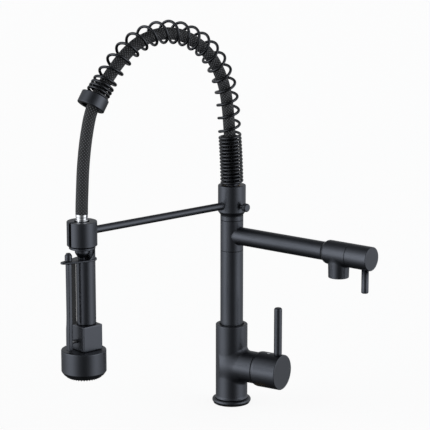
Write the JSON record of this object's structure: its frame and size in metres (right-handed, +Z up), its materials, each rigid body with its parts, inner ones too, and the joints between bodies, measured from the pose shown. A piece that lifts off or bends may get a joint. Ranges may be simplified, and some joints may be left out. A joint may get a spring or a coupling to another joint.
{
  "type": "pull down kitchen faucet",
  "caption": "Deck-mounted kitchen faucet with a side mixer handle, a spring-arched hose with a squeeze spray head parked in a docking ring, and a swinging pot filler arm.",
  "frame": {"origin": "where the column's axis meets the worktop, at the base gasket's underside", "axes": "+Z up; the spout hangs over -Y; the mixer handle and pot filler stand out towards +X"},
  "size_m": [0.2292, 0.311, 0.5384],
  "materials": {
    "black_coat": "satin black coating over brass",
    "spring_coat": "semi-gloss black coated spring steel",
    "chrome": "polished chrome",
    "brass": "machined brass",
    "steel": "stainless steel",
    "rubber": "matte black rubber",
    "braid": "braided black nylon with a grey tracer",
    "valve_plastic": "white acetal",
    "nozzle_silicone": "grey silicone",
    "indicator_plastic": "grey plastic plug"
  },
  "bodies": {
    "body": {"base_gasket": "rubber", "base_flange": "black_coat", "valve_body": "black_coat", "threaded_shank": "brass", "deck_rubber_washer": "rubber", "deck_steel_washer": "steel", "mounting_nut": "brass", "mixer_cartridge": "valve_plastic", "cartridge_retainer": "brass", "column_tube": "black_coat", "column_core": "brass", "collar_o_ring": "rubber", "sleeve_o_ring_upper": "rubber", "sleeve_o_ring_lower": "rubber", "spacer_ring": "black_coat"},
    "handle_turret": {"cartridge_carrier": "valve_plastic"},
    "handle": {"handle_cap": "black_coat", "cartridge_stem": "steel", "handle_set_screw": "steel", "handle_indicator": "indicator_plastic", "handle_lever": "black_coat"},
    "pot_filler": {"filler_sleeve": "black_coat", "filler_arm": "black_coat", "filler_head": "black_coat", "filler_aerator": "steel", "filler_cartridge": "valve_plastic"},
    "filler_handle": {"filler_cap": "black_coat", "filler_stem": "steel", "filler_pin": "black_coat"},
    "spout": {"docking_collar": "black_coat", "docking_rod": "black_coat", "docking_ring": "black_coat", "spring": "spring_coat", "spring_seat": "black_coat", "hose_fitting": "black_coat", "hose": "braid"},
    "lock_knob": {"lock_knob": "black_coat"},
    "hose_end": {"spring_end_nut": "black_coat", "hose_ferrule": "chrome", "hose_swivel_nut": "chrome"},
    "spray_head": {"spray_neck": "black_coat", "head_yoke": "black_coat", "grip_tube": "black_coat", "flow_tube": "steel", "valve_block": "black_coat", "spray_bell": "black_coat", "spray_face": "black_coat", "nozzle_mat": "nozzle_silicone", "water_spreader": "valve_plastic"},
    "trigger": {"trigger_bar": "black_coat", "trigger_knob": "black_coat", "trigger_plunger": "steel"}
  },
  "joints": [
    {"name": "handle_temperature", "type": "hinge", "parent": "body", "child": "handle_turret", "pos_m": [0, 0, 0.0494], "axis": [0.9553, 0.2957, 0], "range_deg": [-45, 45]},
    {"name": "handle_flow", "type": "hinge", "parent": "handle_turret", "child": "handle", "pos_m": [0.02914, 0.00902, 0.0494], "axis": [-0.2957, 0.9553, 0], "range_deg": [0, 22]},
    {"name": "pot_filler_swivel", "type": "hinge", "parent": "body", "child": "pot_filler", "pos_m": [0, 0, 0.2131], "axis": [0, 0, 1], "range_deg": [-180, 180]},
    {"name": "filler_valve_turn", "type": "hinge", "parent": "pot_filler", "child": "filler_handle", "pos_m": [0, 0, 0.2131], "axis": [0.9813, 0.1925, 0], "range_deg": [-90, 0]},
    {"name": "spout_swivel", "type": "hinge", "parent": "body", "child": "spout", "pos_m": [0, 0, 0.2508], "axis": [0, 0, 1], "range_deg": [-180, 180]},
    {"name": "lock_knob_turn", "type": "hinge", "parent": "spout", "child": "lock_knob", "pos_m": [0, 0, 0.2508], "axis": [1, 0, 0], "range_deg": [0, 360]},
    {"name": "spray_head_pull", "type": "slide", "parent": "spout", "child": "hose_end", "axis": [0, 0, -1], "range_m": [0, 0.06], "stiffness_N_per_m": 70, "springref_m": -0.15, "deforming": ["spring", "hose"]},
    {"name": "spray_head_spin", "type": "hinge", "parent": "hose_end", "child": "spray_head", "pos_m": [0, -0.2277, 0.2327], "axis": [0, 0, 1], "range_deg": [-180, 180]},
    {"name": "trigger_squeeze", "type": "hinge", "parent": "spray_head", "child": "trigger", "pos_m": [0, -0.2475, 0.2184], "axis": [1, 0, 0], "range_deg": [0, 2], "stiffness_Nm_per_rad": 2, "springref_deg": -5.73}
  ]
}
